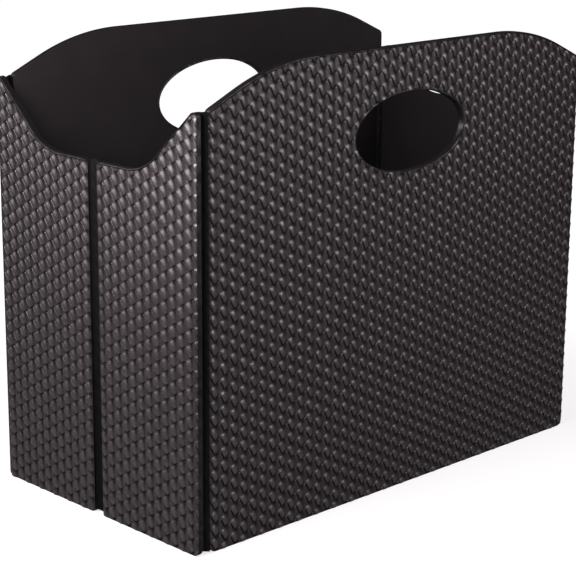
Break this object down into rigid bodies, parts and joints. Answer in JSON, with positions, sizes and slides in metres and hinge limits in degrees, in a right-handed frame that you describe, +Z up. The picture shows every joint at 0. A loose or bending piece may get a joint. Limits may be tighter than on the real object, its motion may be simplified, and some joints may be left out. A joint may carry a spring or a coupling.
{
  "type": "magazine basket",
  "caption": "Folding magazine basket with raised front and back walls, oval hand holes, dipped end walls with a middle crease, and a base that lifts as it folds flat.",
  "frame": {"origin": "middle of the footprint, on the surface that the basket stands on", "axes": "+X along the front wall, which faces -Y; +Z up"},
  "size_m": [0.37, 0.2, 0.3068],
  "materials": {
    "woven_leather": "satin, embossed basket weave",
    "smooth_leather": "satin",
    "hinge_leather": "matte",
    "base_leather": "matte, fine grain",
    "twill_lining": "matte, fine twill",
    "hinge_tape": "matte",
    "fibreboard": "raw grey board"
  },
  "bodies": {
    "back_panel": {"back_cover": "woven_leather", "back_board": "fibreboard", "back_lining": "twill_lining", "back_hand_hole_binding": "smooth_leather", "base_hinge": "hinge_tape"},
    "left_rear_half": {"left_rear_half_cover": "woven_leather", "left_rear_half_board": "fibreboard", "left_rear_half_lining": "twill_lining", "left_rear_corner_hinge": "hinge_leather"},
    "left_front_half": {"left_front_half_cover": "woven_leather", "left_front_half_board": "fibreboard", "left_front_half_lining": "twill_lining", "left_crease_hinge": "hinge_leather"},
    "front_panel": {"front_cover": "woven_leather", "front_board": "fibreboard", "front_lining": "twill_lining", "front_hand_hole_binding": "smooth_leather", "left_front_corner_hinge": "hinge_leather", "right_front_corner_hinge": "hinge_leather"},
    "right_rear_half": {"right_rear_half_cover": "woven_leather", "right_rear_half_board": "fibreboard", "right_rear_half_lining": "twill_lining", "right_rear_corner_hinge": "hinge_leather"},
    "right_front_half": {"right_front_half_cover": "woven_leather", "right_front_half_board": "fibreboard", "right_front_half_lining": "twill_lining", "right_crease_hinge": "hinge_leather"},
    "base": {"base_underside": "base_leather", "base_board": "fibreboard", "base_lining": "twill_lining"}
  },
  "joints": [
    {"name": "end_fold", "type": "hinge", "parent": "back_panel", "child": "left_rear_half", "pos_m": [-0.18, 0.095, 0.14], "axis": [0, 0, -1], "range_deg": [0, 87], "deforming": ["left_rear_corner_hinge", "right_front_corner_hinge"]},
    {"name": "left_crease", "type": "hinge", "parent": "left_rear_half", "child": "left_front_half", "pos_m": [-0.18, 0, 0.12], "axis": [0, 0, 1], "range_deg": [0, 174], "deforming": ["left_crease_hinge"]},
    {"name": "left_front_corner", "type": "hinge", "parent": "left_front_half", "child": "front_panel", "pos_m": [-0.18, -0.095, 0.14], "axis": [0, 0, -1], "range_deg": [0, 87], "deforming": ["left_front_corner_hinge"]},
    {"name": "right_rear_corner", "type": "hinge", "parent": "back_panel", "child": "right_rear_half", "pos_m": [0.18, 0.095, 0.14], "axis": [0, 0, 1], "range_deg": [0, 87], "deforming": ["right_rear_corner_hinge"]},
    {"name": "right_crease", "type": "hinge", "parent": "right_rear_half", "child": "right_front_half", "pos_m": [0.18, 0, 0.12], "axis": [0, 0, -1], "range_deg": [0, 174], "deforming": ["right_crease_hinge"]},
    {"name": "base_lift", "type": "hinge", "parent": "back_panel", "child": "base", "pos_m": [0, 0.0944, 0.0035], "axis": [-1, 0, 0], "range_deg": [0, 90], "deforming": ["base_hinge"]}
  ],
  "couplings": [
    {"joint": "left_crease", "follows": "end_fold", "ratio": 2},
    {"joint": "left_front_corner", "follows": "end_fold", "ratio": 1},
    {"joint": "right_rear_corner", "follows": "end_fold", "ratio": 1},
    {"joint": "right_crease", "follows": "end_fold", "ratio": 2},
    {"joint": "base_lift", "follows": "end_fold", "ratio": 1.0344}
  ]
}
